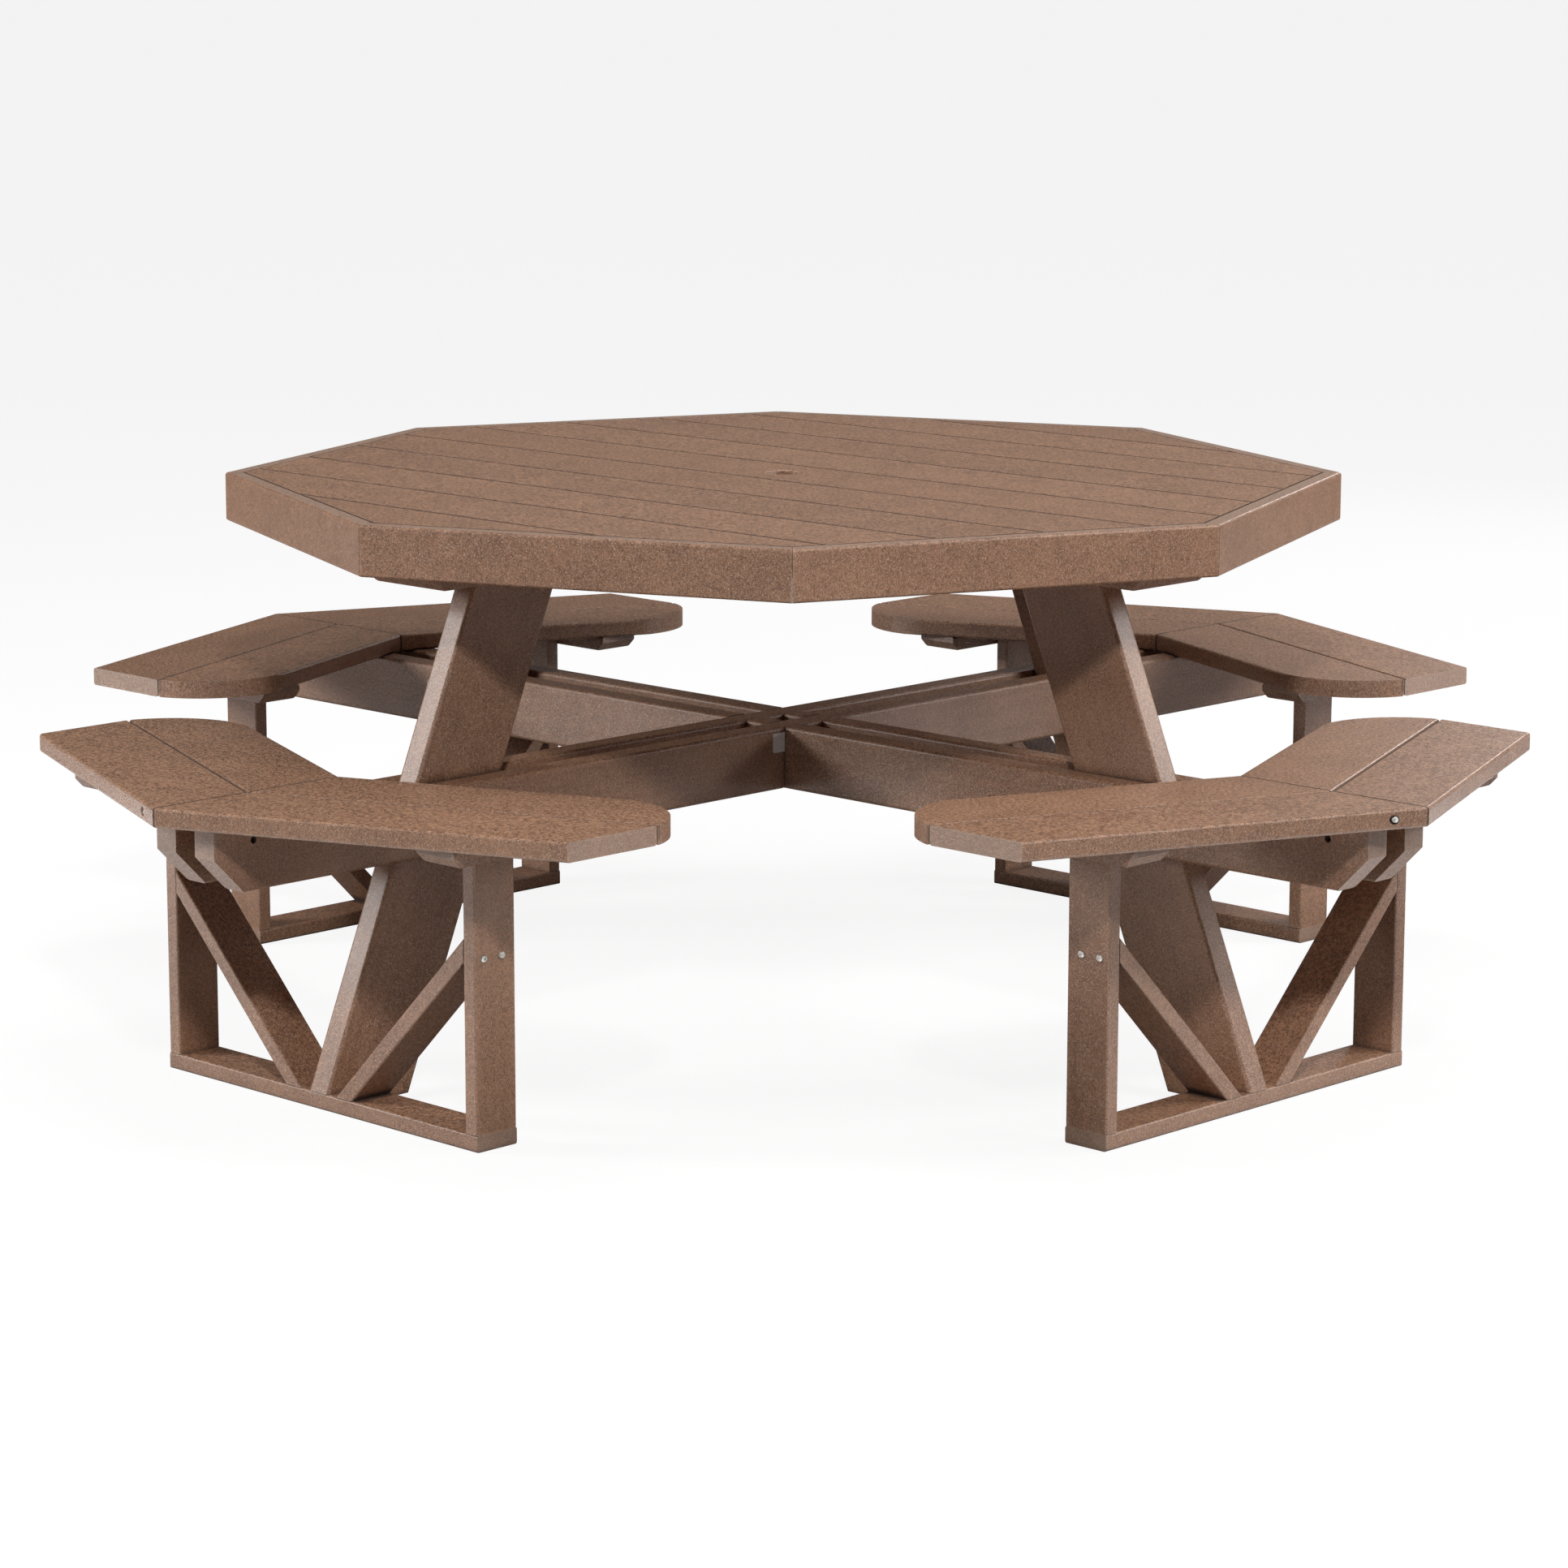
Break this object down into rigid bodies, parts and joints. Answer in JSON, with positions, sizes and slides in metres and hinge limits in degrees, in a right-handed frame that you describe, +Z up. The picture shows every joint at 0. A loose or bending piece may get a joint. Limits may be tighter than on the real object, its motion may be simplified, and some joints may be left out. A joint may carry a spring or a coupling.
{
  "type": "picnic table",
  "caption": "Octagonal slatted picnic table with an umbrella hole, slanted legs and chevron benches carried on crossed beams, built from plastic lumber.",
  "frame": {"origin": "on the ground at the middle of the table, the centre of the bounding box's bottom face", "axes": "+Z up; the seat beams run along X and Y, and the slats of the top run along X"},
  "size_m": [2.2614, 2.2614, 0.762],
  "materials": {
    "plastic_lumber": "brown recycled-plastic lumber, finely speckled, satin",
    "screw_steel": "bright stainless steel",
    "bolt_steel": "dull stainless steel",
    "label_film": "plain white printed-film label, left blank"
  },
  "bodies": {
    "root": {"battens": "plastic_lumber", "beam_board_x_minus": "plastic_lumber", "beam_board_x_plus": "plastic_lumber", "beam_board_y_minus": "plastic_lumber", "beam_board_y_plus": "plastic_lumber", "cross_board_x": "plastic_lumber", "cross_board_y": "plastic_lumber", "deck_screws": "screw_steel", "east_braces": "plastic_lumber", "east_cleats": "plastic_lumber", "east_inner_planks": "plastic_lumber", "east_outer_planks": "plastic_lumber", "east_skid": "plastic_lumber", "east_uprights": "plastic_lumber", "frame_screws": "screw_steel", "label": "label_film", "leg_bolts": "bolt_steel", "leg_east": "plastic_lumber", "leg_lag_screws": "bolt_steel", "leg_north": "plastic_lumber", "leg_south": "plastic_lumber", "leg_west": "plastic_lumber", "north_braces": "plastic_lumber", "north_cleats": "plastic_lumber", "north_inner_planks": "plastic_lumber", "north_outer_planks": "plastic_lumber", "north_skid": "plastic_lumber", "north_uprights": "plastic_lumber", "rim_board_1": "plastic_lumber", "rim_board_2": "plastic_lumber", "rim_board_3": "plastic_lumber", "rim_board_4": "plastic_lumber", "rim_board_5": "plastic_lumber", "rim_board_6": "plastic_lumber", "rim_board_7": "plastic_lumber", "rim_board_8": "plastic_lumber", "slat_01": "plastic_lumber", "slat_02": "plastic_lumber", "slat_03": "plastic_lumber", "slat_04": "plastic_lumber", "slat_05": "plastic_lumber", "slat_06": "plastic_lumber", "slat_07": "plastic_lumber", "slat_08": "plastic_lumber", "slat_09": "plastic_lumber", "slat_10": "plastic_lumber", "slat_11": "plastic_lumber", "south_braces": "plastic_lumber", "south_cleats": "plastic_lumber", "south_inner_planks": "plastic_lumber", "south_outer_planks": "plastic_lumber", "south_skid": "plastic_lumber", "south_uprights": "plastic_lumber", "spacer_blocks": "plastic_lumber", "west_braces": "plastic_lumber", "west_cleats": "plastic_lumber", "west_inner_planks": "plastic_lumber", "west_outer_planks": "plastic_lumber", "west_skid": "plastic_lumber", "west_uprights": "plastic_lumber"}
  },
  "joints": []
}
